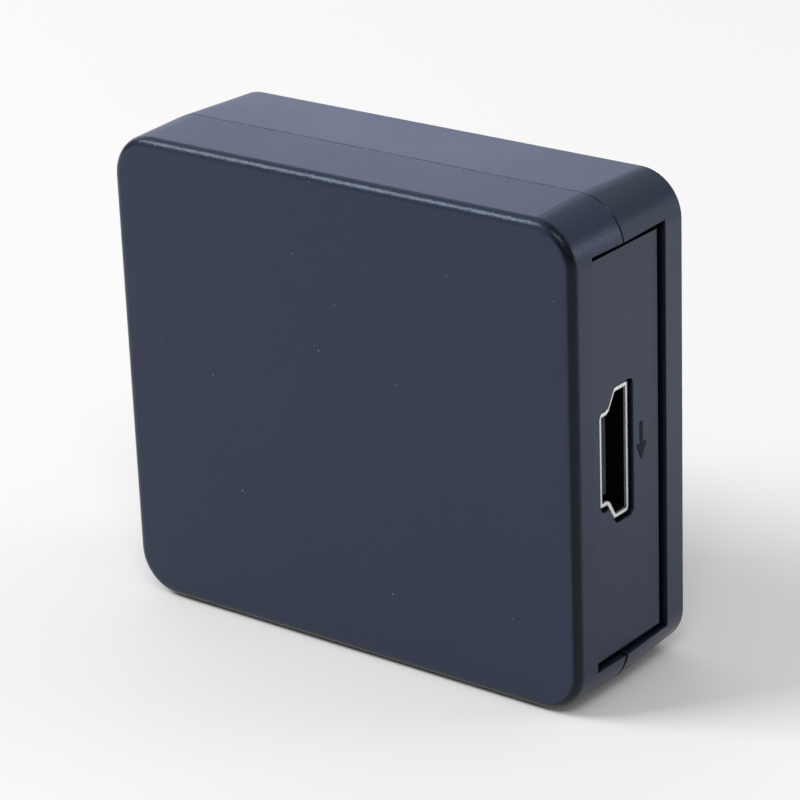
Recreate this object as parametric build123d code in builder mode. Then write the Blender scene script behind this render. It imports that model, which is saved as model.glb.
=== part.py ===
from build123d import *
import os
from math import radians, tan

# A small digital to analogue video converter, standing on one long side.
# The case is two drafted shells. The base shell carries an end panel at each end, which
# stands in a cut-out of the lid. Inside, a board on four bosses holds the sockets.
# Frame: +X out of the input end, +Y from the plain base face to the lid, +Z up, with the
# origin under the middle of the case. "Depth" is measured in from the plain base face,
# and "rise" is measured up from the middle of the case.

# Case, overall sizes at the seam
case_length = 62.7
case_height = 56.4
case_depth = 21.2
corner_radius = 5.4
draft_angle = 2.0
wall = 1.8
seam_depth = 9.1
base_edge_round = 1.2
lid_edge_bevel = 0.6
seam_bevel = 0.12

# Gap that the seam shows at the lower corner of the input end
corner_gape = 0.45

# Lips of the lid inside the rim of the base, along the long sides
lip_height = 1.0
lip_thickness = 0.7
lip_clearance = 0.1
lip_from_end = 7.0

# End panels of the base and the cut-outs of the lid around them
panel_root = 3.5
panel_setback = 0.7
panel_wall = 1.6
panel_bevel = 0.25
panel_gap = 0.72
panel_far_gap = 0.8
opening_height = 47.3
opening_depth = 17.3
opening_ledge = 0.3
opening_ledge_skin = 0.8

# Gussets behind the output panel, between the jacks, and ribs of the lid over the sockets
gusset_reach = 2.4
gusset_top = 11.0
gusset_thickness = 1.2
rib_thickness = 1.2
rib_gap = 0.3

# Board and its bosses
board_face = 5.55
board_thickness = 1.6
board_front_gap = 0.25
board_gap = 0.4
board_side_gap = 0.8
board_corner = 2.5
boss_width = 4.0
boss_bore = 1.0
boss_inset = 2.8
boss_inset_right = 4.0
boss_beside_jack = 0.4
pin_shoulder_width = 3.6
pin_tip_radius = 0.95
pin_tip_length = 3.0
board_hole_radius = 1.2
seat_gap = 0.05

# Digital input socket: a folded sheet shell, wide towards the lid, stepped towards the board
input_width = 15.0
input_height = 5.55
input_foot_width = 10.8
input_side = 2.8
input_step = 1.3
input_corner = 0.45
input_sheet = 0.5
input_length = 11.6
input_recess = 0.4
input_clearance = 0.4
input_tongue_width = 10.8
input_tongue_thickness = 1.6
input_tongue_recess = 1.6
input_tongue_lift = 0.2
tongue_bevel = 0.2
input_block_length = 3.0
input_contact_width = 0.3
input_contact_pitch = 1.0
input_upper_contacts = 10
input_lower_contacts = 9
input_contact_thickness = 0.2
input_contact_setback = 0.5
input_tab_setback = 4.6
contact_play = 0.03
contact_drop_gap = 0.15
tab_width = 1.0
window_length = 3.6
window_width = 2.2
window_slot = 0.35
window_rise = 3.4
window_setback = 2.2

# Power socket on the long side
power_from_jack = 3.1
power_width = 7.7
power_height = 3.95
power_foot_width = 6.5
power_side = 2.3
power_corner = 0.4
power_sheet = 0.35
power_length = 9.2
power_recess = 0.5
power_clearance = 0.35
power_tongue_width = 4.6
power_tongue_thickness = 1.2
power_tongue_recess = 1.2
power_block_length = 2.4
power_tab_setback = 3.4
power_contacts = 5
power_contact_pitch = 0.8
power_contact_width = 0.4

# Slide switch on the long side, for the picture standard
switch_x = 9.0
switch_length = 8.6
switch_width = 3.9
switch_deep = 3.6
switch_sheet = 0.3
switch_travel = 2.0
switch_from_wall = 0.3
switch_base_thickness = 1.1
switch_pin_pitch = 2.5
switch_pin_width = 0.6
switch_pin_thickness = 0.35
switch_pin_setback = 0.8
slider_length = 5.2
slider_clearance = 0.12
clip_length = 3.6
clip_width = 1.6
clip_thickness = 0.2
clip_corner = 0.4
knob_width = 1.6
knob_thickness = 1.5
knob_reach = 1.75
knob_play = 0.15
knob_bevel = 0.15
knob_groove = 0.2
knob_groove_pitch = 0.55
knob_slot_play = 0.35

# Phono jacks, one above another at the output end
jack_pitch = 14.0
jack_axis_height = 4.45
jack_block_length = 8.0
jack_block_width = 10.0
jack_block_bevel = 0.4
jack_flange_width = 12.0
jack_flange_thickness = 0.8
jack_fit = 0.05
collar_radius = 5.6
collar_bore = 5.1
collar_length = 8.4
collar_recess = 0.3
collar_hole_play = 0.15
sleeve_radius = 4.15
sleeve_wall = 0.5
sleeve_recess = 0.4
lug_width = 1.2
lug_reach = 1.6
insulator_recess = 1.0
insulator_front = 2.0
insulator_cavity_width = 3.8
plug_pin_hole = 1.75
tip_leaf_gap = 2.9
tip_leaf_width = 2.0
tip_leaf_thickness = 0.25
tip_setback = 0.4
tip_from_back = 0.6
leg_thickness = 0.4
leg_hole_play = 0.2
leg_past_board = 1.2

# Chips and small parts on the board, each with its place
chip_from_middle = 1.5
chip_rise = 2.0
memory_from_middle = 10.5
memory_rise = 15.0
regulator_from_middle = -2.5
regulator_rise = -12.6
crystal_from_middle = 1.5
crystal_rise = 16.0
coil_from_middle = 7.5
coil_rise = -14.0
can_from_jack = 2.8
can_rise = 6.0
resistor_from_jack = 1.5
resistor_pitch = 1.6
chip_size = 10.0
chip_height = 1.4
chip_standoff = 0.1
chip_bevel = 0.35
chip_leads_per_side = 11
chip_lead_pitch = 0.8
chip_lead_width = 0.35
lead_thickness = 0.15
lead_reach = 1.0
lead_shoulder = 0.4
memory_length = 5.0
memory_width = 4.0
memory_height = 1.5
memory_leads_per_side = 4
memory_lead_pitch = 1.27
memory_lead_width = 0.42
regulator_length = 6.5
regulator_width = 3.5
regulator_height = 1.6
regulator_tab_width = 3.0
regulator_lead_pitch = 2.3
regulator_lead_width = 0.7
crystal_length = 10.2
crystal_width = 3.8
crystal_height = 3.4
crystal_corner = 0.9
crystal_base_length = 11.4
crystal_base_width = 4.8
crystal_base_height = 0.8
coil_size = 5.2
coil_height = 2.8
coil_corner = 0.85
can_radius = 2.5
can_height = 5.4
can_base = 5.3
can_base_cut = 1.05
can_base_height = 0.9
small_length = 1.6
small_width = 0.8
small_height = 0.7
small_cap = 0.35
small_pitch = 2.4
small_row = 8.0

half_length = case_length / 2
half_height = case_height / 2
root_depth = wall / 2
end_cut = 2 * wall
mouth_cut = 3 * wall
draft_slope = tan(radians(draft_angle))


def side_height(depth):
    """How far the outer long sides lie from the middle at this depth."""
    return half_height - abs(seam_depth - depth) * draft_slope


lip_rise = half_height - wall + lip_thickness / 2
lip_length = case_length - 2 * lip_from_end
panel_x = half_length - panel_setback
panel_height = opening_height - 2 * panel_gap
panel_tip = opening_depth - panel_far_gap
board_back = board_face - board_thickness
board_height = case_height - 2 * (wall + board_side_gap)
input_axis = board_face + input_height / 2
input_mouth = panel_x - input_recess
input_back = input_mouth - input_length
power_axis = board_face + power_height / 2
jack_axis = board_face + jack_axis_height
jack_front = -(panel_x - collar_recess)
jack_floor = jack_front + collar_length
jack_back = jack_floor + jack_block_length
sleeve_front = jack_front + sleeve_recess
sleeve_leg_x = jack_floor + lug_reach - leg_thickness / 2
lug_radius = sleeve_radius - sleeve_wall / 2
insulator_nose = sleeve_front + insulator_recess
insulator_cavity = insulator_nose + insulator_front
tip_front = insulator_cavity + tip_setback
tip_back = jack_back - tip_from_back
tip_leg_x = tip_back - tip_leaf_thickness / 2
board_left = jack_floor + board_front_gap
board_right = panel_x - panel_wall - board_gap
board_middle = (board_left + board_right) / 2
boss_left = board_left + boss_inset
boss_right = board_right - boss_inset_right
boss_rise = jack_pitch + jack_block_width / 2 + boss_beside_jack + boss_width / 2
power_x = jack_back + power_from_jack + power_width / 2
power_mouth = power_recess - side_height(power_axis)
power_back = power_mouth + power_length
switch_axis = board_face + switch_width / 2
switch_front = wall + switch_from_wall - half_height
switch_back = switch_front + switch_deep
switch_pin_rise = switch_back + switch_pin_setback - switch_pin_thickness / 2
chip_x = board_middle + chip_from_middle
memory_x = board_middle + memory_from_middle
regulator_x = board_middle + regulator_from_middle
crystal_x = board_middle + crystal_from_middle
coil_x = board_middle + coil_from_middle
can_x = jack_back + can_from_jack + can_base / 2
resistor_x = jack_back + resistor_from_jack + small_length / 2


def spot(x, depth, rise):
    """Point of the frame at this depth from the base face and this rise from the middle."""
    return (x, depth - case_depth / 2, half_height + rise)


def across(depth, x=0.0, rise=0.0):
    """Plane along the big faces that looks out of the base: sketch x is +X, sketch y up."""
    return Plane(origin=spot(x, depth, rise), x_dir=(1, 0, 0), z_dir=(0, -1, 0))


def on_board(x, rise):
    """Plane on the board's face, looking to the lid: sketch x is +X, sketch y down."""
    return Plane(origin=spot(x, board_face, rise), x_dir=(1, 0, 0), z_dir=(0, 1, 0))


def input_end(x, depth=case_depth / 2, rise=0.0):
    """Plane that looks out of the input end: sketch x to the lid, sketch y up."""
    return Plane(origin=spot(x, depth, rise), x_dir=(0, 1, 0), z_dir=(1, 0, 0))


def output_end(x, depth=case_depth / 2, rise=0.0):
    """Plane that looks out of the output end: sketch x to the base face, sketch y up."""
    return Plane(origin=spot(x, depth, rise), x_dir=(0, -1, 0), z_dir=(-1, 0, 0))


def standing_side(rise, x=0.0, depth=case_depth / 2):
    """Plane that looks down out of the side it stands on: sketch y to the base face."""
    return Plane(origin=spot(x, depth, rise), x_dir=(1, 0, 0), z_dir=(0, 0, -1))


def save(piece, label):
    """Name a finished piece and write it."""
    piece.part.label = label
    export_step(piece.part, f"parts/{label}.step")


def side_faces(piece):
    """The faces that the draft leans: all but those along the big faces."""
    return piece.faces().filter_by(Axis.Y, reverse=True)


def socket_outline(width, height, foot_width, side, step):
    """Mouth of a socket: full width towards the lid, stepping in towards the board."""
    top, foot = height / 2, -height / 2
    with BuildSketch() as mouth:
        with BuildLine():
            Polyline(
                (foot, -foot_width / 2),
                (top - side - step, -foot_width / 2),
                (top - side, -width / 2),
                (top, -width / 2),
                (top, width / 2),
                (top - side, width / 2),
                (top - side - step, foot_width / 2),
                (foot, foot_width / 2),
                close=True,
            )
        make_face()
    return mouth.sketch


def input_outline(grow=0.0):
    """Mouth of the digital input socket, grown by a clearance or shrunk by a wall."""
    with BuildSketch() as mouth:
        add(socket_outline(input_width, input_height, input_foot_width, input_side, input_step))
        fillet(mouth.vertices(), input_corner)
        if grow:
            offset(amount=grow, kind=Kind.ARC, mode=Mode.REPLACE)
    return mouth.sketch


def power_outline(grow=0.0):
    """Mouth of the power socket, turned for the long side that it looks out of."""
    step = (power_width - power_foot_width) / 2
    with BuildSketch() as mouth:
        add(socket_outline(power_width, power_height, power_foot_width, power_side, step))
        chamfer(mouth.vertices(), power_corner)
        if grow:
            offset(amount=grow, kind=Kind.INTERSECTION, mode=Mode.REPLACE)
    return mouth.sketch.rotate(Axis.Z, -90)


def bent_lead(reach, root_height, thickness, shoulder):
    """Side outline of a bent lead: a shoulder out from the body, then a slope to the board."""
    with BuildSketch() as lead:
        with BuildLine():
            Polyline(
                (0, root_height),
                (shoulder, root_height),
                (reach, 0),
                (reach - 2 * thickness, 0),
                (shoulder - thickness / 2, root_height - thickness),
                (0, root_height - thickness),
                close=True,
            )
        make_face()
    return lead.sketch


def chip_lead(root_height, width):
    """One lead of a chip: sketch x out of the body, z away from the board."""
    with BuildPart() as lead:
        with BuildSketch(Plane.XZ):
            add(bent_lead(lead_reach, root_height, lead_thickness, lead_shoulder))
        extrude(amount=width / 2, both=True)
    return lead.part


def centred(count, pitch):
    """Places of a row, spread evenly about its middle."""
    return [(i - (count - 1) / 2) * pitch for i in range(count)]


def strip_outline(nose, back, top, bottom, thickness):
    """Side of a bent strip: in from its nose under "top", and down at its back."""
    with BuildSketch() as strip:
        with BuildLine():
            Polyline(
                (nose, top - thickness),
                (nose, top),
                (back - thickness, top),
                (back - thickness, bottom),
                (back, bottom),
                (back, top - thickness),
                close=True,
            )
        make_face()
    return strip.sketch


def out_of_side(x):
    """Upright plane across the case at x: sketch x down out of the standing side, y to the lid."""
    return Plane(origin=(x, 0, half_height), x_dir=(0, 0, -1), z_dir=(1, 0, 0))


def panel(outward):
    """End panel of the base: a flat wall from the floor up into the lid's cut-out."""
    inner, outer = outward * (panel_x - panel_wall), outward * panel_x
    floor, tip = root_depth - case_depth / 2, panel_tip - case_depth / 2
    with BuildPart() as piece:
        with BuildSketch(Plane.XY.offset(half_height)):
            with BuildLine():
                Polyline(
                    (inner, floor),
                    (outer, floor),
                    (outer, tip - panel_bevel),
                    (outer - outward * panel_bevel, tip),
                    (inner, tip),
                    close=True,
                )
            make_face()
        extrude(amount=panel_height / 2, both=True)
    return piece.part


os.makedirs("parts", exist_ok=True)

# Places of the four board bosses, of the two that take a pin, and of the three jacks
boss_places = [(x, rise) for x in (boss_left, boss_right) for rise in (-boss_rise, boss_rise)]
pin_places = [(boss_left, boss_rise), (boss_right, -boss_rise)]
jack_names = ["video", "left_sound", "right_sound"]
jack_rises = [jack_pitch, 0.0, -jack_pitch]
gusset_rises = [-jack_pitch / 2, jack_pitch / 2]

# Places where the sockets' tabs and the switch's pins pass through the board
input_tab_rise = input_foot_width / 2 - input_corner - input_sheet / 2
input_tab_places = [
    (x, rise)
    for x in (input_back + tab_width, input_mouth - input_tab_setback)
    for rise in (-input_tab_rise, input_tab_rise)
]
power_tab_x = power_foot_width / 2 - power_corner - power_sheet / 2
power_tab_places = [
    (power_x + x, rise)
    for x in (-power_tab_x, power_tab_x)
    for rise in (power_back - tab_width, power_mouth + power_tab_setback)
]
board_slots = [
    ([(sleeve_leg_x, rise) for rise in jack_rises], leg_thickness, lug_width),
    ([(tip_leg_x, rise) for rise in jack_rises], tip_leaf_thickness, tip_leaf_width),
    (input_tab_places, tab_width, input_sheet),
    (power_tab_places, power_sheet, tab_width),
    ([(switch_x + x, switch_pin_rise) for x in centred(3, switch_pin_pitch)],
     switch_pin_width, switch_pin_thickness),
]
lid_ribs = [
    ((jack_floor + jack_back) / 2, jack_axis + jack_axis_height, 2 * jack_pitch + jack_block_width),
    ((input_back + input_mouth) / 2, board_face + input_height, input_width),
]

# Base shell, with its plain face to -Y
with BuildPart() as base_shell:
    with BuildSketch(across(seam_depth)):
        RectangleRounded(case_length, case_height, corner_radius)
    extrude(amount=seam_depth)
    draft(side_faces(base_shell), across(seam_depth), draft_angle)
    fillet(base_shell.faces().sort_by(Axis.Y)[0].edges(), base_edge_round)
    chamfer(base_shell.faces().sort_by(Axis.Y)[-1].edges(), seam_bevel)
    with BuildSketch(across(seam_depth)):
        RectangleRounded(case_length - 2 * wall, case_height - 2 * wall, corner_radius - wall)
    extrude(amount=seam_depth - wall, mode=Mode.SUBTRACT)
    # rebates for the lid's lips
    with BuildSketch(across(seam_depth)):
        with Locations(*[(0, rise) for rise in (-lip_rise, lip_rise)]):
            Rectangle(lip_length + 2 * lip_clearance, lip_thickness + 2 * lip_clearance)
    extrude(amount=lip_height + lip_clearance, mode=Mode.SUBTRACT)
    # the ends open down to the root of the panels, which then stand in them
    for outward in (-1, 1):
        with BuildSketch(across(seam_depth, outward * half_length)):
            Rectangle(2 * end_cut, opening_height)
        extrude(amount=seam_depth - panel_root, mode=Mode.SUBTRACT)
        add(panel(outward))
    # mouth of the input socket
    with BuildSketch(input_end(half_length, input_axis)):
        add(input_outline(input_clearance))
    extrude(amount=-mouth_cut, mode=Mode.SUBTRACT)
    # holes of the jacks
    with BuildSketch(output_end(-half_length, jack_axis)):
        with Locations(*[(0, rise) for rise in jack_rises]):
            Circle(collar_radius + collar_hole_play)
    extrude(amount=-mouth_cut, mode=Mode.SUBTRACT)
    # openings for the power socket and the switch knob
    with BuildSketch(standing_side(-half_height, power_x, power_axis)):
        add(power_outline(power_clearance))
    extrude(amount=-mouth_cut, mode=Mode.SUBTRACT)
    with BuildSketch(standing_side(-half_height, switch_x, switch_axis)):
        Rectangle(
            switch_travel + knob_width + 2 * knob_slot_play, knob_thickness + 2 * knob_slot_play
        )
    extrude(amount=-mouth_cut, mode=Mode.SUBTRACT)
    # the rim draws down to a small gap at one corner
    gape_start = half_length - corner_radius
    with BuildSketch(Plane.XY):
        with BuildLine():
            Polyline(
                (gape_start, seam_depth - case_depth / 2),
                (half_length, seam_depth - case_depth / 2),
                (half_length, seam_depth - case_depth / 2 - corner_gape),
                close=True,
            )
        make_face()
    extrude(amount=half_height - opening_height / 2, mode=Mode.SUBTRACT)
    # square bosses under the board, two with a six-sided bore for the lid's pins
    with BuildSketch(across(root_depth)):
        with Locations(*boss_places):
            Rectangle(boss_width, boss_width)
    extrude(amount=root_depth - board_back)
    with BuildSketch(across(board_back)):
        with Locations(*pin_places):
            RegularPolygon(boss_bore, 6)
    extrude(amount=board_back - wall, mode=Mode.SUBTRACT)
    # gussets behind the output panel
    gusset_x = panel_wall - panel_x
    with BuildSketch(*[Plane.XY.offset(half_height + rise) for rise in gusset_rises]):
        with BuildLine():
            Polyline(
                (gusset_x, root_depth - case_depth / 2),
                (gusset_x + gusset_reach, root_depth - case_depth / 2),
                (gusset_x, gusset_top - case_depth / 2),
                close=True,
            )
        make_face()
    extrude(amount=gusset_thickness / 2, both=True)
save(base_shell, "base_shell")

# Lid shell, with the lip that drops inside the base and the pins that hold the board down
with BuildPart() as lid_shell:
    with BuildSketch(across(seam_depth)):
        RectangleRounded(case_length, case_height, corner_radius)
    extrude(amount=seam_depth - case_depth)
    draft(side_faces(lid_shell), across(seam_depth), -draft_angle)
    chamfer(lid_shell.faces().sort_by(Axis.Y)[-1].edges(), lid_edge_bevel)
    chamfer(lid_shell.faces().sort_by(Axis.Y)[0].edges(), seam_bevel)
    with BuildSketch(across(seam_depth)):
        RectangleRounded(case_length - 2 * wall, case_height - 2 * wall, corner_radius - wall)
    extrude(amount=seam_depth + wall - case_depth, mode=Mode.SUBTRACT)
    with BuildSketch(across(seam_depth)):
        with Locations(*[(0, rise) for rise in (-lip_rise, lip_rise)]):
            Rectangle(lip_length, lip_thickness)
    extrude(amount=lip_height)
    # cut-outs round the end panels, stepped by a ledge behind their outer skin
    for outward in (-1, 1):
        cut_top = seam_depth - lip_height
        with BuildSketch(across(cut_top, outward * (half_length - end_cut))):
            Rectangle(2 * end_cut, opening_height - 2 * opening_ledge)
        extrude(amount=cut_top - opening_depth + opening_ledge, mode=Mode.SUBTRACT)
        with BuildSketch(across(cut_top, outward * half_length)):
            Rectangle(2 * (panel_setback + opening_ledge_skin), opening_height)
        extrude(amount=cut_top - opening_depth, mode=Mode.SUBTRACT)
    # notches over the power socket and the knob, where the seam crosses them
    with BuildSketch(standing_side(-half_height, power_x, power_axis)):
        add(power_outline(power_clearance))
    extrude(amount=-mouth_cut, mode=Mode.SUBTRACT)
    with BuildSketch(standing_side(-half_height, switch_x, switch_axis)):
        Rectangle(
            switch_travel + knob_width + 2 * knob_slot_play, knob_thickness + 2 * knob_slot_play
        )
    extrude(amount=-mouth_cut, mode=Mode.SUBTRACT)
    # cross-shaped posts on the board, two with a six-sided pin through it into the boss
    with BuildSketch(across(board_face + seat_gap)):
        with Locations(*boss_places):
            Rectangle(pin_shoulder_width, rib_thickness)
            Rectangle(rib_thickness, pin_shoulder_width)
    extrude(amount=board_face + seat_gap + root_depth - case_depth)
    with BuildSketch(across(board_face + seat_gap)):
        with Locations(*pin_places):
            RegularPolygon(pin_tip_radius, 6)
    extrude(amount=pin_tip_length)
    # ribs that keep the jacks and the input socket down on the board
    for x, top, span in lid_ribs:
        with BuildSketch(across(top + rib_gap, x)):
            Rectangle(rib_thickness, span)
        extrude(amount=top + rib_gap + root_depth - case_depth)
save(lid_shell, "lid_shell")

# Board, clamped between the bosses and the pins of the lid
board_length = board_right - board_left
with BuildPart() as circuit_board:
    with BuildSketch(across(board_face, board_middle)) as board_outline:
        Rectangle(board_length, board_height)
        chamfer(board_outline.vertices(), board_corner)
    extrude(amount=board_thickness)
    with BuildSketch(across(board_face)):
        with Locations(*pin_places):
            Circle(board_hole_radius)
        for places, thickness, width in board_slots:
            with Locations(*places):
                Rectangle(thickness + 2 * leg_hole_play, width + 2 * leg_hole_play)
    extrude(amount=board_thickness, mode=Mode.SUBTRACT)
save(circuit_board, "circuit_board")

# Digital input socket
with BuildPart() as input_shell:
    with BuildSketch(input_end(input_back, input_axis)):
        add(input_outline())
        add(input_outline(-input_sheet), mode=Mode.SUBTRACT)
    extrude(amount=input_length)
    # two spring fingers, each cut free on three sides from the wide face
    window_x = input_mouth - window_setback - window_length / 2
    with BuildSketch(across(board_face + input_height, window_x)):
        with Locations((0, window_rise), (0, -window_rise)):
            Rectangle(window_length, window_width)
            with Locations((window_slot, 0)):
                Rectangle(window_length, window_width - 2 * window_slot, mode=Mode.SUBTRACT)
    extrude(amount=input_sheet, mode=Mode.SUBTRACT)
    # tabs through the board
    for x, rise in input_tab_places:
        with BuildSketch(on_board(x, rise)):
            Rectangle(tab_width, input_sheet)
    extrude(amount=-board_thickness - leg_past_board)
save(input_shell, "input_socket_shell")

tongue_axis = input_axis + input_tongue_lift
upper_strip = tongue_axis + input_tongue_thickness / 2 + input_contact_thickness
lower_strip = tongue_axis - input_tongue_thickness / 2
upper_rises = centred(input_upper_contacts, input_contact_pitch)
lower_rises = centred(input_lower_contacts, input_contact_pitch)
strip_half = input_contact_thickness / 2

with BuildPart() as input_tongue:
    with BuildSketch(input_end(input_back, input_axis)):
        add(socket_outline(input_width, input_height, input_foot_width, input_side, input_step))
        offset(amount=-input_sheet - seat_gap, kind=Kind.INTERSECTION, mode=Mode.REPLACE)
    extrude(amount=input_block_length)
    tongue_nose = input_mouth - input_tongue_recess
    with BuildSketch(input_end(input_back, tongue_axis)):
        Rectangle(input_tongue_thickness, input_tongue_width)
    extrude(amount=tongue_nose - input_back)
    chamfer(input_tongue.faces().sort_by(Axis.X)[-1].edges(), tongue_bevel)
    with BuildSketch(input_end(input_back, input_axis)):
        with Locations(*[(upper_strip - strip_half - input_axis, rise) for rise in upper_rises]):
            Rectangle(
                input_contact_thickness + 2 * contact_play, input_contact_width + 2 * contact_play
            )
        with Locations(*[(lower_strip - strip_half - input_axis, rise) for rise in lower_rises]):
            Rectangle(
                input_contact_thickness + 2 * contact_play, input_contact_width + 2 * contact_play
            )
    extrude(amount=tongue_nose - input_back, mode=Mode.SUBTRACT)
save(input_tongue, "input_socket_tongue")

with BuildPart() as input_contacts:
    for top, rises in ((upper_strip, upper_rises), (lower_strip, lower_rises)):
        with BuildSketch(*[Plane.XY.offset(half_height + rise) for rise in rises]):
            add(strip_outline(
                tongue_nose - input_contact_setback,
                input_back - contact_drop_gap,
                top - case_depth / 2,
                board_face - case_depth / 2,
                input_contact_thickness,
            ))
        extrude(amount=input_contact_width / 2, both=True)
save(input_contacts, "input_socket_contacts")

# Power socket
with BuildPart() as power_shell:
    with BuildSketch(standing_side(power_back, power_x, power_axis)):
        add(power_outline())
        add(power_outline(-power_sheet), mode=Mode.SUBTRACT)
    extrude(amount=power_length)
    for x, rise in power_tab_places:
        with BuildSketch(on_board(x, rise)):
            Rectangle(power_sheet, tab_width)
    extrude(amount=-board_thickness - leg_past_board)
save(power_shell, "power_socket_shell")

power_nose = power_mouth + power_tongue_recess
power_strip = power_axis - power_tongue_thickness / 2
power_contact_places = centred(power_contacts, power_contact_pitch)

with BuildPart() as power_tongue:
    with BuildSketch(standing_side(power_back, power_x, power_axis)):
        add(power_outline(-power_sheet - seat_gap))
    extrude(amount=power_block_length)
    with BuildSketch(standing_side(power_back, power_x, power_axis)):
        Rectangle(power_tongue_width, power_tongue_thickness)
    extrude(amount=power_back - power_nose)
    chamfer(power_tongue.faces().sort_by(Axis.Z)[0].edges(), tongue_bevel)
    with BuildSketch(standing_side(power_back, power_x, power_axis)):
        with Locations(*[(x, power_axis - power_strip + strip_half) for x in power_contact_places]):
            Rectangle(
                power_contact_width + 2 * contact_play, input_contact_thickness + 2 * contact_play
            )
    extrude(amount=power_back - power_nose, mode=Mode.SUBTRACT)
save(power_tongue, "power_socket_tongue")

with BuildPart() as power_contact_set:
    with BuildSketch(*[out_of_side(power_x + x) for x in power_contact_places]):
        add(strip_outline(
            -power_nose - input_contact_setback,
            -power_back - contact_drop_gap,
            power_strip - case_depth / 2,
            board_face - case_depth / 2,
            input_contact_thickness,
        ))
    extrude(amount=power_contact_width / 2, both=True)
save(power_contact_set, "power_socket_contacts")

# Slide switch: frame, base with its pins, slider with the knob, and the bridging clip
frame_inside_length = switch_length - 2 * switch_sheet
frame_inside_width = switch_width - 2 * switch_sheet
cavity_deep = switch_deep - switch_sheet - switch_base_thickness

with BuildPart() as switch_frame:
    with BuildSketch(standing_side(switch_back, switch_x, switch_axis)):
        Rectangle(switch_length, switch_width)
    extrude(amount=switch_deep)
    with BuildSketch(standing_side(switch_back, switch_x, switch_axis)):
        Rectangle(frame_inside_length, frame_inside_width)
    extrude(amount=switch_deep - switch_sheet, mode=Mode.SUBTRACT)
    with BuildSketch(standing_side(switch_back, switch_x, switch_axis)):
        Rectangle(switch_travel + knob_width + 2 * knob_play, knob_thickness + 2 * knob_play)
    extrude(amount=switch_deep, mode=Mode.SUBTRACT)
save(switch_frame, "switch_frame")

with BuildPart() as switch_base:
    with BuildSketch(standing_side(switch_back, switch_x, switch_axis)):
        Rectangle(frame_inside_length - 2 * seat_gap, frame_inside_width - 2 * seat_gap)
        with Locations(*[(x, 0) for x in centred(3, switch_pin_pitch)]):
            Rectangle(
                switch_pin_width + 2 * contact_play, switch_pin_thickness + 2 * contact_play,
                mode=Mode.SUBTRACT,
            )
    extrude(amount=switch_base_thickness)
save(switch_base, "switch_base")

with BuildPart() as switch_pins:
    with BuildSketch(*[out_of_side(switch_x + x) for x in centred(3, switch_pin_pitch)]):
        add(strip_outline(
            switch_base_thickness - switch_back,
            -switch_back - switch_pin_setback + switch_pin_thickness,
            switch_axis + switch_pin_thickness / 2 - case_depth / 2,
            board_back - leg_past_board - case_depth / 2,
            switch_pin_thickness,
        ))
    extrude(amount=switch_pin_width / 2, both=True)
save(switch_pins, "switch_pins")

slider_x = switch_x - switch_travel / 2
slider_back = switch_back - switch_base_thickness - clip_thickness - 2 * seat_gap
slider_front = switch_front + switch_sheet + seat_gap
with BuildPart() as switch_slider:
    with BuildSketch(standing_side(slider_back, slider_x, switch_axis)):
        Rectangle(slider_length, frame_inside_width - 2 * slider_clearance)
    extrude(amount=slider_back - slider_front)
    with BuildSketch(standing_side(slider_front, slider_x, switch_axis)):
        Rectangle(knob_width, knob_thickness)
    extrude(amount=knob_reach + switch_sheet + seat_gap)
    chamfer(switch_slider.faces().sort_by(Axis.Z)[0].edges(), knob_bevel)
    # grip grooves across the knob's end
    with BuildSketch(standing_side(switch_front - knob_reach, slider_x, switch_axis)):
        with GridLocations(knob_groove_pitch, 0, 2, 1):
            Rectangle(knob_groove, knob_thickness)
    extrude(amount=-knob_groove, mode=Mode.SUBTRACT)
save(switch_slider, "switch_slider")

with BuildPart() as switch_clip:
    clip_plane = standing_side(slider_back + seat_gap + clip_thickness, slider_x, switch_axis)
    with BuildSketch(clip_plane) as clip_outline:
        Rectangle(clip_length, clip_width)
        chamfer(clip_outline.vertices(), clip_corner)
    extrude(amount=clip_thickness)
save(switch_clip, "switch_clip")


def jack_body(rise):
    """Block on the board behind the collar, with a passage for the tip contact."""
    with BuildPart() as body:
        with BuildSketch(output_end(jack_back, jack_axis, rise)):
            Rectangle(2 * jack_axis_height, jack_block_width)
        extrude(amount=jack_block_length)
        chamfer(body.edges().filter_by(Axis.X), jack_block_bevel)
        # flange that the collar stands on
        with BuildSketch(output_end(jack_floor, jack_axis, rise)):
            Rectangle(2 * jack_axis_height, jack_flange_width)
        extrude(amount=-jack_flange_thickness)
        with BuildSketch(output_end(jack_back, jack_axis, rise)):
            Rectangle(insulator_cavity_width, insulator_cavity_width)
        extrude(amount=jack_block_length, mode=Mode.SUBTRACT)
        # pockets for the sleeve's two side lugs
        with BuildSketch(output_end(jack_floor, jack_axis, rise)):
            with Locations(*[(0, y) for y in (-lug_radius, lug_radius)]):
                Rectangle(lug_width + 2 * jack_fit, sleeve_wall + 2 * jack_fit)
        extrude(amount=-lug_reach - jack_fit, mode=Mode.SUBTRACT)
        # notch for the sleeve's leg, and channel for the tip contact's leg
        notch_length = lug_reach + jack_fit
        with BuildSketch(on_board(jack_floor + notch_length / 2, rise)):
            Rectangle(notch_length, lug_width + 2 * jack_fit)
        extrude(amount=jack_axis_height - sleeve_radius + sleeve_wall + jack_fit, mode=Mode.SUBTRACT)
        with BuildSketch(on_board(tip_leg_x, rise)):
            Rectangle(tip_leaf_thickness + 2 * jack_fit, tip_leaf_width + 2 * jack_fit)
        extrude(amount=jack_axis_height, mode=Mode.SUBTRACT)
    return body


def jack_collar(rise):
    """Coloured collar that lines the hole in the panel, standing on the block's face."""
    with BuildPart() as collar:
        with BuildSketch(output_end(jack_floor, jack_axis, rise)):
            Circle(collar_radius)
            Circle(collar_bore, mode=Mode.SUBTRACT)
        extrude(amount=collar_length)
    return collar


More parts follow.
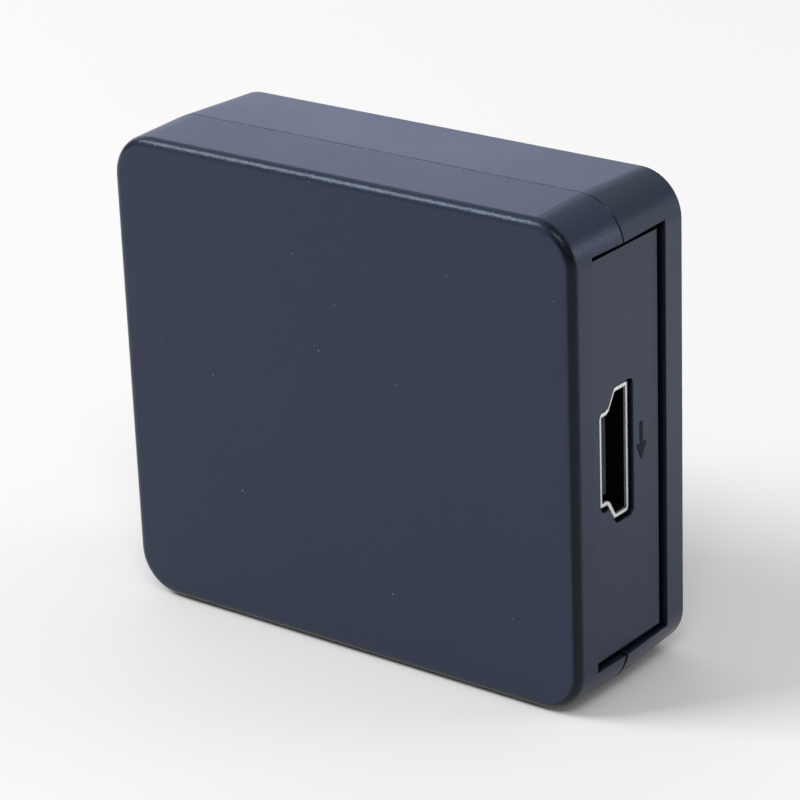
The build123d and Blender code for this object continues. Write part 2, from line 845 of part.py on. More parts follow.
def jack_sleeve(rise):
    """Outer contact: the tube that the plug's ring slides over, with lugs and a leg behind."""
    leg_below = board_thickness + leg_past_board
    with BuildPart() as sleeve:
        with BuildSketch(output_end(jack_floor, jack_axis, rise)):
            Circle(sleeve_radius)
            Circle(sleeve_radius - sleeve_wall, mode=Mode.SUBTRACT)
        extrude(amount=jack_floor - sleeve_front)
        with BuildSketch(output_end(jack_floor, jack_axis, rise)):
            with Locations(*[(0, y) for y in (-lug_radius, lug_radius)]):
                Rectangle(lug_width, sleeve_wall)
            with Locations((lug_radius, 0)):
                Rectangle(sleeve_wall, lug_width)
        extrude(amount=-lug_reach)
        with BuildSketch(on_board(sleeve_leg_x, rise).offset(-leg_below)):
            Rectangle(leg_thickness, lug_width)
        extrude(amount=leg_below + jack_axis_height - lug_radius)
    return sleeve


def jack_insulator(rise):
    """Core of the jack: a round hole for the plug's pin, and a square room for the contact."""
    with BuildPart() as core:
        with BuildSketch(output_end(jack_floor, jack_axis, rise)):
            Circle(sleeve_radius - sleeve_wall - jack_fit)
        extrude(amount=jack_floor - insulator_nose)
        with BuildSketch(output_end(jack_floor, jack_axis, rise)):
            Rectangle(insulator_cavity_width, insulator_cavity_width)
        extrude(amount=jack_floor - insulator_cavity, mode=Mode.SUBTRACT)
        with BuildSketch(output_end(insulator_cavity, jack_axis, rise)):
            Circle(plug_pin_hole)
        extrude(amount=insulator_front, mode=Mode.SUBTRACT)
    return core


def jack_tip_contact(rise):
    """Inner contact: two spring leaves from a web, whose tail goes down through the board."""
    middle = jack_axis - case_depth / 2
    leaf_inside = tip_leaf_gap / 2
    leaf_outside = leaf_inside + tip_leaf_thickness
    web = tip_back - tip_leaf_thickness
    tail = board_back - leg_past_board - case_depth / 2
    with BuildPart() as tip:
        with BuildSketch(Plane.XY.offset(half_height + rise)):
            with BuildLine():
                Polyline(
                    (tip_front, middle + leaf_outside),
                    (tip_back, middle + leaf_outside),
                    (tip_back, tail),
                    (web, tail),
                    (web, middle - leaf_outside),
                    (tip_front, middle - leaf_outside),
                    (tip_front, middle - leaf_inside),
                    (web, middle - leaf_inside),
                    (web, middle + leaf_inside),
                    (tip_front, middle + leaf_inside),
                    close=True,
                )
            make_face()
        extrude(amount=tip_leaf_width / 2, both=True)
    return tip


# The three jacks
for jack_name, jack_rise in zip(jack_names, jack_rises):
    save(jack_body(jack_rise), f"{jack_name}_jack_body")
    save(jack_collar(jack_rise), f"{jack_name}_jack_collar")
    save(jack_sleeve(jack_rise), f"{jack_name}_jack_sleeve")
    save(jack_insulator(jack_rise), f"{jack_name}_jack_insulator")
    save(jack_tip_contact(jack_rise), f"{jack_name}_jack_tip_contact")

# Converter chip, flat square body with leads on four sides
with BuildPart() as converter_chip:
    with BuildSketch(on_board(chip_x, chip_rise).offset(chip_standoff)):
        Rectangle(chip_size, chip_size)
    extrude(amount=chip_height)
    chamfer(converter_chip.faces().sort_by(Axis.Y)[-1].edges(), chip_bevel)
save(converter_chip, "converter_chip")

with BuildPart(on_board(chip_x, chip_rise)) as converter_chip_leads:
    lead = chip_lead(chip_height / 2 + chip_standoff, chip_lead_width)
    with PolarLocations(chip_size / 2, 4):
        with GridLocations(0, chip_lead_pitch, 1, chip_leads_per_side):
            add(lead)
save(converter_chip_leads, "converter_chip_leads")

# Memory chip, with leads on two sides
with BuildPart() as memory_chip:
    with BuildSketch(on_board(memory_x, memory_rise).offset(chip_standoff)):
        Rectangle(memory_width, memory_length)
    extrude(amount=memory_height)
    chamfer(memory_chip.faces().sort_by(Axis.Y)[-1].edges().filter_by(Axis.Z), chip_bevel)
save(memory_chip, "memory_chip")

with BuildPart(on_board(memory_x, memory_rise)) as memory_chip_leads:
    lead = chip_lead(memory_height / 2 + chip_standoff, memory_lead_width)
    with PolarLocations(memory_width / 2, 2):
        with GridLocations(0, memory_lead_pitch, 1, memory_leads_per_side):
            add(lead)
save(memory_chip_leads, "memory_chip_leads")

# Voltage regulator: drafted body, three leads on one side and a wide tab on the other
with BuildPart() as regulator:
    with BuildSketch(on_board(regulator_x, regulator_rise).offset(chip_standoff)):
        Rectangle(regulator_length, regulator_width)
    extrude(amount=regulator_height)
    chamfer(regulator.faces().sort_by(Axis.Y)[-1].edges(), chip_bevel)
save(regulator, "voltage_regulator")

with BuildPart(on_board(regulator_x, regulator_rise)) as regulator_leads:
    narrow = chip_lead(regulator_height / 2, regulator_lead_width)
    tab = chip_lead(regulator_height / 2, regulator_tab_width)
    with Locations(*[Location((x, regulator_width / 2, 0), (0, 0, 90))
                     for x in centred(3, regulator_lead_pitch)]):
        add(narrow)
    with Locations(Location((0, -regulator_width / 2, 0), (0, 0, -90))):
        add(tab)
save(regulator_leads, "voltage_regulator_leads")

# Crystal in a drawn can on its plastic base
with BuildPart() as crystal_base:
    with BuildSketch(on_board(crystal_x, crystal_rise)) as crystal_outline:
        Rectangle(crystal_base_length, crystal_base_width)
        chamfer(crystal_outline.vertices(), crystal_corner)
    extrude(amount=crystal_base_height)
save(crystal_base, "crystal_base")

with BuildPart() as crystal_can:
    with BuildSketch(on_board(crystal_x, crystal_rise).offset(crystal_base_height)):
        SlotOverall(crystal_length, crystal_width)
    extrude(amount=crystal_height)
save(crystal_can, "crystal_can")

# Moulded coil of the supply
with BuildPart() as power_coil:
    with BuildSketch(on_board(coil_x, coil_rise)) as coil_outline:
        Rectangle(coil_size, coil_size)
        chamfer(coil_outline.vertices(), coil_corner)
    extrude(amount=coil_height)
save(power_coil, "power_coil")

# Two electrolytic capacitors: drawn cans on plastic bases with two cut corners
can_places = [(can_x, can_rise), (can_x, -can_rise)]
with BuildPart() as capacitor_bases:
    for x, rise in can_places:
        with BuildSketch(on_board(x, rise)) as base_outline:
            Rectangle(can_base, can_base)
            chamfer(base_outline.vertices().group_by(Axis.X)[-1], can_base_cut)
        extrude(amount=can_base_height)
save(capacitor_bases, "capacitor_bases")

with BuildPart() as capacitor_cans:
    for x, rise in can_places:
        with BuildSketch(on_board(x, rise).offset(can_base_height)):
            Circle(can_radius)
        extrude(amount=can_height)
save(capacitor_cans, "capacitor_cans")


def small_part():
    """Surface part of the smallest kind: a body with a raised cap over each end."""
    half, cap = small_length / 2, small_length / 2 - small_cap
    with BuildPart() as body:
        with BuildSketch(Plane.XZ):
            with BuildLine():
                Polyline(
                    (-half, 0),
                    (half, 0),
                    (half, small_height + contact_play),
                    (cap, small_height + contact_play),
                    (cap, small_height),
                    (-cap, small_height),
                    (-cap, small_height + contact_play),
                    (-half, small_height + contact_play),
                    close=True,
                )
            make_face()
        extrude(amount=small_width / 2, both=True)
    return body.part


# Ceramic capacitors in a row on each side of the chip, and a resistor pair by each jack
with BuildPart(on_board(chip_x, chip_rise)) as ceramic_capacitors:
    with GridLocations(small_pitch, 2 * small_row, 4, 2):
        add(small_part())
save(ceramic_capacitors, "ceramic_capacitors")

with BuildPart(on_board(resistor_x, 0)) as chip_resistors:
    with GridLocations(0, jack_pitch, 1, 3):
        with GridLocations(0, resistor_pitch, 1, 2):
            add(small_part())
save(chip_resistors, "chip_resistors")
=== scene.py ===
import math
import bmesh
import bpy
from mathutils import Matrix, Vector


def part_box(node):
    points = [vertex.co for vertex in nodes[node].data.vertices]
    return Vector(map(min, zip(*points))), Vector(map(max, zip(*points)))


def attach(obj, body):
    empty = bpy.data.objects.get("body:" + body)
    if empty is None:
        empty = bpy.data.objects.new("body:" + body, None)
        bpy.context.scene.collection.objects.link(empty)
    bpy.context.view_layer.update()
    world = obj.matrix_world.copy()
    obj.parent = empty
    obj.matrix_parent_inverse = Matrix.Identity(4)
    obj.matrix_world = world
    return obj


# A small video converter box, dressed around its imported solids, standing as photographed.
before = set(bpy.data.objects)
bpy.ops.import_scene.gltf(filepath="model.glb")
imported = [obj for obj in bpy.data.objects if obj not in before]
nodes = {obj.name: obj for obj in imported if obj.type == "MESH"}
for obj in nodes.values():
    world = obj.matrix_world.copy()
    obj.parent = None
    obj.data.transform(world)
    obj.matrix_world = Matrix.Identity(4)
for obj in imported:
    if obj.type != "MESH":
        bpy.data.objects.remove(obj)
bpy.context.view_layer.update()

MM = 0.001
MM_PER_METRE = 1000.0
case_low, case_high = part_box("base_shell")
socket_low, socket_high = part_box("input_socket_shell")
centre = Vector((0.0, 0.0, (case_low.z + case_high.z) / 2))

# Camera, fitted to the photograph: turn, height and roll in degrees, lengths in millimetres
CAMERA_TURN = 37.91
CAMERA_HEIGHT = 22.21
CAMERA_ROLL = -2.166
CAMERA_DISTANCE = 373.776
CAMERA_SHIFT_RIGHT = -0.1553
CAMERA_SHIFT_UP = 1.1336
FOCAL_PIXELS = 3359.26
FRAME_PIXELS = 800
SENSOR = 36.0

# How near and how far the camera sees, in metres
NEAREST_SEEN = 0.01
FURTHEST_SEEN = 20

# Arrow beside the input socket, in millimetres; the socket's rim lies behind the end panel
INPUT_RECESS = 0.4
ARROW_BESIDE = 1.9
ARROW_LENGTH = 4.4
ARROW_WIDTH = 1.9
ARROW_SHAFT = 0.55
ARROW_HEIGHT = 0.05

# Floor, from the middle to its sides in metres; its warm white evens out the bluish lamps
FLOOR_REACH = 3.0
FLOOR_WHITE = (0.875, 0.837, 0.80, 1)

# Lamps: direction seen from the object, width and height in metres, radiance and colour
LAMP_DISTANCE = 2.0
COOL_WHITE = (0.88, 0.94, 1.0)
SKY_BLUE = (0.63, 0.70, 1.0)
LAMPS = {
    "key_lamp": ((0.39, -0.50, 0.76), (0.7, 0.5), 9.0, COOL_WHITE),
    "edge_lamp": ((-0.569, -0.451, 0.686), (0.9, 0.65), 14.0, COOL_WHITE),
    "rear_lamp": ((-0.77, 0.54, 0.33), (1.8, 1.0), 1.45, SKY_BLUE),
    "side_lamp": ((0.78, 0.58, 0.22), (0.9, 0.35), 8.5, COOL_WHITE),
}

# World light: its strength near and below the horizon, and overhead
HORIZON_STRENGTH = 0.3
OVERHEAD_STRENGTH = 0.55
HORIZON_ENDS = 0.3
OVERHEAD_STARTS = 0.6

# Sampling of the rounded edges and of the grooves' shade
EDGE_SAMPLES = 6
GROOVE_SAMPLES = 8

# Values that the finishes share, with sizes and depths in millimetres
BUMP_STRENGTH = 0.6
LINE_SIZE = 0.07
LINE_DEPTH = 0.002
GRAIN_DEPTH = 0.004
TONE_LOW = 0.3
TONE_HIGH = 0.7
TONE_OVER_GRAIN = 24


def add_camera():
    """Camera at the photograph's viewing angle."""
    turn, height, roll = (math.radians(a) for a in (CAMERA_TURN, CAMERA_HEIGHT, CAMERA_ROLL))
    back = Vector((
        math.sin(turn) * math.cos(height), -math.cos(turn) * math.cos(height), math.sin(height)
    ))
    level = Vector((math.cos(turn), math.sin(turn), 0))
    up = back.cross(level)
    right = math.cos(roll) * level + math.sin(roll) * up
    upward = math.cos(roll) * up - math.sin(roll) * level
    place = centre + MM * (
        CAMERA_DISTANCE * back - CAMERA_SHIFT_RIGHT * right - CAMERA_SHIFT_UP * upward
    )
    camera = bpy.data.objects.new("camera", bpy.data.cameras.new("camera"))
    camera.data.sensor_width = SENSOR
    camera.data.lens = FOCAL_PIXELS * SENSOR / FRAME_PIXELS
    camera.data.clip_start = NEAREST_SEEN
    camera.data.clip_end = FURTHEST_SEEN
    rotation = Matrix((right, upward, back)).transposed()
    camera.matrix_world = Matrix.Translation(place) @ rotation.to_4x4()
    bpy.context.scene.collection.objects.link(camera)
    bpy.context.scene.camera = camera


def add_lamp(name, direction, size, radiance, colour):
    """Soft lamp that looks at the object from a direction; size is its width and height."""
    width, height = size
    data = bpy.data.lights.new(name, "AREA")
    data.shape = "RECTANGLE"
    data.size = width
    data.size_y = height
    data.energy = radiance * math.pi * width * height
    data.color = colour
    lamp = bpy.data.objects.new(name, data)
    outward = Vector(direction).normalized()
    lamp.location = centre + LAMP_DISTANCE * outward
    lamp.rotation_euler = (-outward).to_track_quat("-Z", "Y").to_euler()
    bpy.context.scene.collection.objects.link(lamp)


# Node helpers
def new_material(name):
    """Empty material with its shader and output."""
    material = bpy.data.materials.new(name)
    material.use_nodes = True
    tree = material.node_tree
    tree.nodes.clear()
    output = tree.nodes.new("ShaderNodeOutputMaterial")
    shader = tree.nodes.new("ShaderNodeBsdfPrincipled")
    tree.links.new(shader.outputs["BSDF"], output.inputs["Surface"])
    return material, tree, shader


def feed(tree, socket, value):
    """Give a socket a link or a plain value."""
    if isinstance(value, bpy.types.NodeSocket):
        tree.links.new(value, socket)
    else:
        socket.default_value = value


def maths(tree, operation, first, second=None):
    """One sum on values or sockets."""
    node = tree.nodes.new("ShaderNodeMath")
    node.operation = operation
    feed(tree, node.inputs[0], first)
    if second is not None:
        feed(tree, node.inputs[1], second)
    return node.outputs["Value"]


def ramp(tree, value, low, high, to_low=0.0, to_high=1.0):
    """Smooth step from one value to another between two marks."""
    node = tree.nodes.new("ShaderNodeMapRange")
    node.interpolation_type = "SMOOTHSTEP"
    feed(tree, node.inputs["Value"], value)
    feed(tree, node.inputs["From Min"], low)
    feed(tree, node.inputs["From Max"], high)
    feed(tree, node.inputs["To Min"], to_low)
    feed(tree, node.inputs["To Max"], to_high)
    return node.outputs["Result"]


def mixed(tree, factor, first, second):
    """Colour between two colours or sockets, by a factor."""
    mix = tree.nodes.new("ShaderNodeMix")
    mix.data_type = "RGBA"
    feed(tree, mix.inputs["Factor"], factor)
    for label, colour in (("A", first), ("B", second)):
        feed(tree, mix.inputs[label], (*colour, 1) if isinstance(colour, tuple) else colour)
    return mix.outputs["Result"]


def tinted(tree, body, mask, share, colour):
    """The body colour, mixed towards a colour by a share of a mask."""
    return mixed(tree, maths(tree, "MULTIPLY", mask, share), body, colour)


def along(tree, vector):
    """The three parts of a vector, as X, Y and Z."""
    parts = tree.nodes.new("ShaderNodeSeparateXYZ")
    tree.links.new(vector, parts.inputs["Vector"])
    return parts.outputs


def object_place(tree):
    """Coordinates on the object, in metres."""
    return tree.nodes.new("ShaderNodeTexCoord").outputs["Object"]


def stretched(tree, stretch, turn=(0, 0, 0)):
    """Object coordinates, turned and then stretched along the axes."""
    mapping = tree.nodes.new("ShaderNodeMapping")
    mapping.vector_type = "TEXTURE"
    mapping.inputs["Rotation"].default_value = turn
    mapping.inputs["Scale"].default_value = stretch
    tree.links.new(object_place(tree), mapping.inputs["Vector"])
    return mapping.outputs["Vector"]


def noise(tree, vector, size, detail=2.0):
    """Noise whose lumps measure about "size" millimetres."""
    node = tree.nodes.new("ShaderNodeTexNoise")
    node.inputs["Detail"].default_value = detail
    feed(tree, node.inputs["Vector"], vector)
    feed(tree, node.inputs["Scale"], maths(tree, "DIVIDE", MM_PER_METRE, size))
    return node.outputs["Fac"]


def cells_and_dice(tree, vector, spacing):
    """Cells "spacing" millimetres apart: how far their middle is, and three dice for each."""
    cells = tree.nodes.new("ShaderNodeTexVoronoi")
    tree.links.new(vector, cells.inputs["Vector"])
    feed(tree, cells.inputs["Scale"], maths(tree, "DIVIDE", MM_PER_METRE, spacing))
    dice = tree.nodes.new("ShaderNodeSeparateColor")
    tree.links.new(cells.outputs["Color"], dice.inputs["Color"])
    return cells.outputs["Distance"], dice.outputs


def group_tree(name, inputs, outputs):
    """Empty node group with its named float inputs and outputs."""
    tree = bpy.data.node_groups.new(name, "ShaderNodeTree")
    for label, default in inputs:
        socket = tree.interface.new_socket(
            name=label, in_out="INPUT", socket_type="NodeSocketFloat"
        )
        socket.default_value = default
    for label, kind in outputs:
        tree.interface.new_socket(name=label, in_out="OUTPUT", socket_type=kind)
    return tree, tree.nodes.new("NodeGroupInput"), tree.nodes.new("NodeGroupOutput")


def placed(tree, group, **values):
    """A node group in a material, with its own values: spaces in labels are written as _."""
    node = tree.nodes.new("ShaderNodeGroup")
    node.node_tree = group
    for label, value in values.items():
        feed(tree, node.inputs[label.replace("_", " ").title()], value)
    return node.outputs


# Effects that the finishes share
def grain_group():
    """Fine moulded grain: a height, and a slow tone for colour and gloss."""
    tree, given, out = group_tree(
        "moulded_grain",
        [("Size", 0.12), ("Tone Size", 8.0)],
        [("Height", "NodeSocketFloat"), ("Tone", "NodeSocketFloat")],
    )
    place = object_place(tree)
    fine_detail = 3.0
    height = noise(tree, place, given.outputs["Size"], fine_detail)
    tree.links.new(height, out.inputs["Height"])
    tree.links.new(noise(tree, place, given.outputs["Tone Size"]), out.inputs["Tone"])
    return tree


def speck_group():
    """Sparse dust specks: a few of the cells of a spacing hold one small round grain."""
    tree, given, out = group_tree(
        "dust_specks",
        [("Spacing", 1.5), ("Size", 0.09), ("Share", 0.2)],
        [("Mask", "NodeSocketFloat")],
    )
    distance, dice = cells_and_dice(tree, object_place(tree), given.outputs["Spacing"])
    picked = maths(tree, "LESS_THAN", dice["Red"], given.outputs["Share"])
    reach = maths(tree, "MULTIPLY", given.outputs["Size"], dice["Green"])
    near = ramp(tree, distance, reach, 0.0)
    # the power makes most specks faint and leaves a few bright
    faintness = 4.0
    bright = maths(tree, "POWER", dice["Blue"], faintness)
    spot = maths(tree, "MULTIPLY", near, bright)
    tree.links.new(maths(tree, "MULTIPLY", picked, spot), out.inputs["Mask"])
    return tree


def scratch_group():
    """Sparse hair scratches: long thin cells, of which a few hold one line."""
    tree, given, out = group_tree(
        "hair_scratches",
        [("Spacing", 2.0), ("Width", 0.02), ("Share", 0.1)],
        [("Mask", "NodeSocketFloat")],
    )
    drawn_out = (1, 1, 6)
    askew = (0.2, 0.5, 0.1)
    distance, dice = cells_and_dice(
        tree, stretched(tree, drawn_out, askew), given.outputs["Spacing"]
    )
    picked = maths(tree, "LESS_THAN", dice["Blue"], given.outputs["Share"])
    near = ramp(tree, distance, given.outputs["Width"], 0.0)
    tree.links.new(maths(tree, "MULTIPLY", picked, near), out.inputs["Mask"])
    return tree


def edge_group():
    """Rounded edges: the normal rounded over a radius, and a mask that is 1 along the edges, which
    paints wear, and on the input socket painted shade.
    """
    tree, given, out = group_tree(
        "edge_wear_and_painted_shade",
        [("Radius", 0.1), ("Wear", 1.0)],
        [("Mask", "NodeSocketFloat"), ("Normal", "NodeSocketVector")],
    )
    rounded = tree.nodes.new("ShaderNodeBevel")
    rounded.samples = EDGE_SAMPLES
    feed(tree, rounded.inputs["Radius"], maths(tree, "MULTIPLY", given.outputs["Radius"], MM))
    flat = tree.nodes.new("ShaderNodeNewGeometry")
    dot = tree.nodes.new("ShaderNodeVectorMath")
    dot.operation = "DOT_PRODUCT"
    tree.links.new(rounded.outputs["Normal"], dot.inputs[0])
    tree.links.new(flat.outputs["Normal"], dot.inputs[1])
    # how closely the two normals agree, where the edge mask starts and where it is full
    mask_starts, mask_full = 0.995, 0.85
    lean = ramp(tree, dot.outputs["Value"], mask_starts, mask_full)
    tree.links.new(maths(tree, "MULTIPLY", lean, given.outputs["Wear"]), out.inputs["Mask"])
    tree.links.new(rounded.outputs["Normal"], out.inputs["Normal"])
    return tree


def crevice_group():
    """Painted shade of grooves and gaps: 1 deep inside them, 0 on open faces."""
    tree, given, out = group_tree(
        "crevice_shade", [("Reach", 1.5)], [("Mask", "NodeSocketFloat")]
    )
    hidden = tree.nodes.new("ShaderNodeAmbientOcclusion")
    hidden.samples = GROOVE_SAMPLES
    feed(tree, hidden.inputs["Distance"], maths(tree, "MULTIPLY", given.outputs["Reach"], MM))
    open_face, deep_groove = 0.85, 0.45
    shade = ramp(tree, hidden.outputs["AO"], open_face, deep_groove)
    tree.links.new(shade, out.inputs["Mask"])
    return tree


def lines_group():
    """Fine lines of drawn metal, along the X axis and along the Z axis."""
    tree, given, out = group_tree(
        "drawn_lines",
        [("Size", 0.06)],
        [("Along X", "NodeSocketFloat"), ("Along Z", "NodeSocketFloat")],
    )
    longer = 40
    for label, stretch in (("Along X", (longer, 1, 1)), ("Along Z", (1, 1, longer))):
        lines = noise(tree, stretched(tree, stretch), given.outputs["Size"], 1.0)
        tree.links.new(lines, out.inputs[label])
    return tree


grain_tree = grain_group()
speck_tree = speck_group()
scratch_tree = scratch_group()
edge_tree = edge_group()
crevice_tree = crevice_group()
lines_tree = lines_group()


def lighter(colour, share):
    """The same colour, lighter or darker by a share."""
    return tuple(min(1.0, c * (1 + share)) for c in colour)


def bumped(tree, shader, height, depth, normal):
    """Feed the shader's normal with a bump of this depth in millimetres, over a base normal."""
    bump = tree.nodes.new("ShaderNodeBump")
    bump.inputs["Strength"].default_value = BUMP_STRENGTH
    bump.inputs["Distance"].default_value = depth * MM
    tree.links.new(height, bump.inputs["Height"])
    tree.links.new(normal, bump.inputs["Normal"])
    tree.links.new(bump.outputs["Normal"], shader.inputs["Normal"])


def case_rounds(tree):
    """Masks of the rounds between the big faces and the sides: all of them, and the ones that turn
    towards the ends or the foot, where shade is painted.
    """
    # each pair gives the lean of the surface where its mask is 0 and where it is 1
    from_side, from_face = (0.03, 0.45), (0.999, 0.88)
    to_end, to_foot = (0.1, 0.4), (0.0, -0.3)
    lean = along(tree, tree.nodes.new("ShaderNodeNewGeometry").outputs["Normal"])
    faceward = maths(tree, "ABSOLUTE", lean["Y"])
    off_side = ramp(tree, faceward, *from_side)
    off_face = ramp(tree, faceward, *from_face)
    rounds = maths(tree, "MULTIPLY", off_side, off_face)
    endwise = ramp(tree, maths(tree, "ABSOLUTE", lean["X"]), *to_end)
    footwise = ramp(tree, lean["Z"], *to_foot)
    # painted shade: the rounds that turn towards the ends or the foot are darkened in colour
    painted_shade_rounds = maths(tree, "MULTIPLY", rounds, maths(tree, "MAXIMUM", endwise, footwise))
    return rounds, painted_shade_rounds


def case_plastic():
    """Satin black plastic: fine grain, dust, hair scratches, rounds smoother than the faces, and
    painted shade on the rounds towards the ends and the foot and deep in grooves and gaps.
    """
    deep_tone, light_tone = (0.0210, 0.0270, 0.0485), (0.0240, 0.0305, 0.0540)
    # near-black painted shade on the rounds that turn towards the ends or the foot
    round_painted_shade = (0.001, 0.0015, 0.003)
    worn_grey = (0.05, 0.056, 0.075)
    # near-black painted shade deep in grooves and gaps
    groove_painted_shade = (0.002, 0.002, 0.003)
    scratch_grey = (0.12, 0.13, 0.15)
    dust_grey = (0.36, 0.38, 0.42)
    smoothest, roughest = 0.29, 0.32
    round_smoother, dust_rougher = 0.12, 0.4
    grain_depth = 0.06
    material, tree, shader = new_material("case_plastic")
    grain = placed(tree, grain_tree, size=0.2, tone_size=14.0)
    edge = placed(tree, edge_tree, radius=0.1, wear=1.0)
    crevice = placed(tree, crevice_tree, reach=1.6)
    dust = placed(tree, speck_tree, spacing=1.5, size=0.12, share=0.3)
    scratch = placed(tree, scratch_tree, spacing=2.4, width=0.012, share=0.05)
    rounds, painted_shade_rounds = case_rounds(tree)
    body = mixed(tree, grain["Tone"], deep_tone, light_tone)
    for mask, share, colour in (
        (painted_shade_rounds, 0.95, round_painted_shade),
        (edge["Mask"], 0.15, worn_grey),
        (crevice["Mask"], 0.95, groove_painted_shade),
        (scratch["Mask"], 0.35, scratch_grey),
        (dust["Mask"], 0.7, dust_grey),
    ):
        body = tinted(tree, body, mask, share, colour)
    tree.links.new(body, shader.inputs["Base Color"])
    gloss = ramp(tree, grain["Tone"], TONE_LOW, TONE_HIGH, smoothest, roughest)
    gloss = maths(tree, "SUBTRACT", gloss, maths(tree, "MULTIPLY", rounds, round_smoother))
    gloss = maths(tree, "ADD", gloss, maths(tree, "MULTIPLY", dust["Mask"], dust_rougher))
    tree.links.new(gloss, shader.inputs["Roughness"])
    bumped(tree, shader, grain["Height"], grain_depth, edge["Normal"])
    shader.inputs["Specular IOR Level"].default_value = 0.25
    shader.inputs["Specular Tint"].default_value = (0.72, 0.84, 1.0, 1)
    return material


def moulded(name, colour, roughness, grain=0.12, wear=0.25, coat=0.0, specular=0.5):
    """Moulded plastic, laminate or resin: grain, slow tone, lighter worn edges and dust."""
    tone_spread, edge_lighter, gloss_spread = 0.06, 0.8, 0.03
    dust_grey = (0.45, 0.45, 0.44)
    material, tree, shader = new_material(name)
    grains = placed(tree, grain_tree, size=grain, tone_size=TONE_OVER_GRAIN * grain)
    edge = placed(tree, edge_tree, radius=0.1, wear=wear)
    dust = placed(tree, speck_tree, spacing=0.9, size=0.1, share=0.12)
    deep_tone, light_tone = lighter(colour, -tone_spread), lighter(colour, tone_spread)
    body = mixed(tree, grains["Tone"], deep_tone, light_tone)
    body = mixed(tree, edge["Mask"], body, lighter(colour, edge_lighter))
    body = tinted(tree, body, dust["Mask"], 0.5, dust_grey)
    tree.links.new(body, shader.inputs["Base Color"])
    smoothest, roughest = roughness - gloss_spread, roughness + gloss_spread
    gloss = ramp(tree, grains["Tone"], TONE_LOW, TONE_HIGH, smoothest, roughest)
    tree.links.new(gloss, shader.inputs["Roughness"])
    bumped(tree, shader, grains["Height"], GRAIN_DEPTH, edge["Normal"])
    shader.inputs["Coat Weight"].default_value = coat
    shader.inputs["Specular IOR Level"].default_value = specular
    return material


def plated(name, colour, roughness, lines="Along Z"):
    """Plated or drawn metal: fine lines, duller patches, bright worn edges."""
    patch_duller, patch_brighter, edge_brighter = 0.25, 0.125, 0.3
    smoother, rougher = 0.06, 0.08
    line_low, line_high = 0.25, 0.75
    material, tree, shader = new_material(name)
    line = placed(tree, lines_tree, size=LINE_SIZE)
    patch = placed(tree, grain_tree, size=0.1, tone_size=1.6)
    edge = placed(tree, edge_tree, radius=0.07, wear=0.5)
    dull, bright = lighter(colour, -patch_duller), lighter(colour, patch_brighter)
    body = mixed(tree, patch["Tone"], dull, bright)
    body = mixed(tree, edge["Mask"], body, lighter(colour, edge_brighter))
    tree.links.new(body, shader.inputs["Base Color"])
    smoothest, roughest = roughness - smoother, roughness + rougher
    streaks = ramp(tree, line[lines], line_low, line_high, smoothest, roughest)
    tree.links.new(streaks, shader.inputs["Roughness"])
    bumped(tree, shader, line[lines], LINE_DEPTH, edge["Normal"])
    shader.inputs["Metallic"].default_value = 1.0
    return material


def socket_sheet():
    """Tinned sheet of the input socket: bright along its cut rim; further in, painted shade, and
    dull; painted shade also along its edges, which keeps the rim's highlight thin.
    """
    rim_deep, rim_near = 0.3 * MM, 0.03 * MM
    tin_dull, tin_bright = (0.66, 0.66, 0.68), (0.86, 0.86, 0.88)
    # painted shade inside the socket and along the sheet's edges
    inside_painted_shade = (0.003, 0.003, 0.004)
    edge_painted_shade = (0.02, 0.021, 0.024)
    inside_rough, rim_rough = 0.55, 0.24
    material, tree, shader = new_material("socket_sheet")
    line = placed(tree, lines_tree, size=LINE_SIZE)
    edge = placed(tree, edge_tree, radius=0.26, wear=1.0)
    place = along(tree, object_place(tree))
    rim = ramp(tree, place["X"], socket_high.x - rim_deep, socket_high.x - rim_near)
    bright = mixed(tree, line["Along X"], tin_dull, tin_bright)
    # painted shade: further in from the rim, and along the edges
    body = mixed(tree, rim, inside_painted_shade, bright)
    body = mixed(tree, edge["Mask"], body, edge_painted_shade)
    tree.links.new(body, shader.inputs["Base Color"])
    feed(tree, shader.inputs["Roughness"], ramp(tree, rim, 0.0, 1.0, inside_rough, rim_rough))
    feed(tree, shader.inputs["Metallic"], rim)
    bumped(tree, shader, line["Along X"], LINE_DEPTH, edge["Normal"])
    shader.inputs["Specular IOR Level"].default_value = 0.0
    return material


# Finishes: name, colour and roughness
case_black = case_plastic()
input_sheet = socket_sheet()
power_sheet = plated("power_sheet", (0.62, 0.62, 0.63), 0.3)
switch_sheet = plated("switch_sheet", (0.6, 0.6, 0.6), 0.32, lines="Along X")
socket_black = moulded("socket_black", (0.016, 0.017, 0.02), 0.5, wear=0.1)
contact_gilt = plated("contact_gilt", (0.72, 0.52, 0.22), 0.28, lines="Along X")
# gold of the input socket's contacts, darkened as painted shade for the inside of the socket
painted_shade_gilt = plated("painted_shade_gilt", (0.20, 0.15, 0.08), 0.35, lines="Along X")
board_green = moulded("board_green", (0.02, 0.14, 0.06), 0.35, coat=0.4)
jack_block = moulded("jack_block", (0.02, 0.02, 0.023), 0.45)
collar_yellow = moulded("collar_yellow", (0.78, 0.50, 0.02), 0.28, wear=0.15, coat=0.2)
collar_white = moulded("collar_white", (0.76, 0.76, 0.73), 0.28, wear=0.1, coat=0.2)
collar_red = moulded("collar_red", (0.52, 0.014, 0.014), 0.28, wear=0.12, coat=0.2)
jack_plate = plated("jack_plate", (0.70, 0.69, 0.66), 0.2)
insulator_nylon = moulded("insulator_nylon", (0.60, 0.59, 0.54), 0.5, wear=0.1)
brown_board = moulded("brown_board", (0.12, 0.06, 0.03), 0.6)
knob_black = moulded("knob_black", (0.018, 0.018, 0.02), 0.45, wear=0.4)
lead_tin = plated("lead_tin", (0.6, 0.6, 0.59), 0.35)
chip_resin = moulded("chip_resin", (0.02, 0.02, 0.022), 0.6)
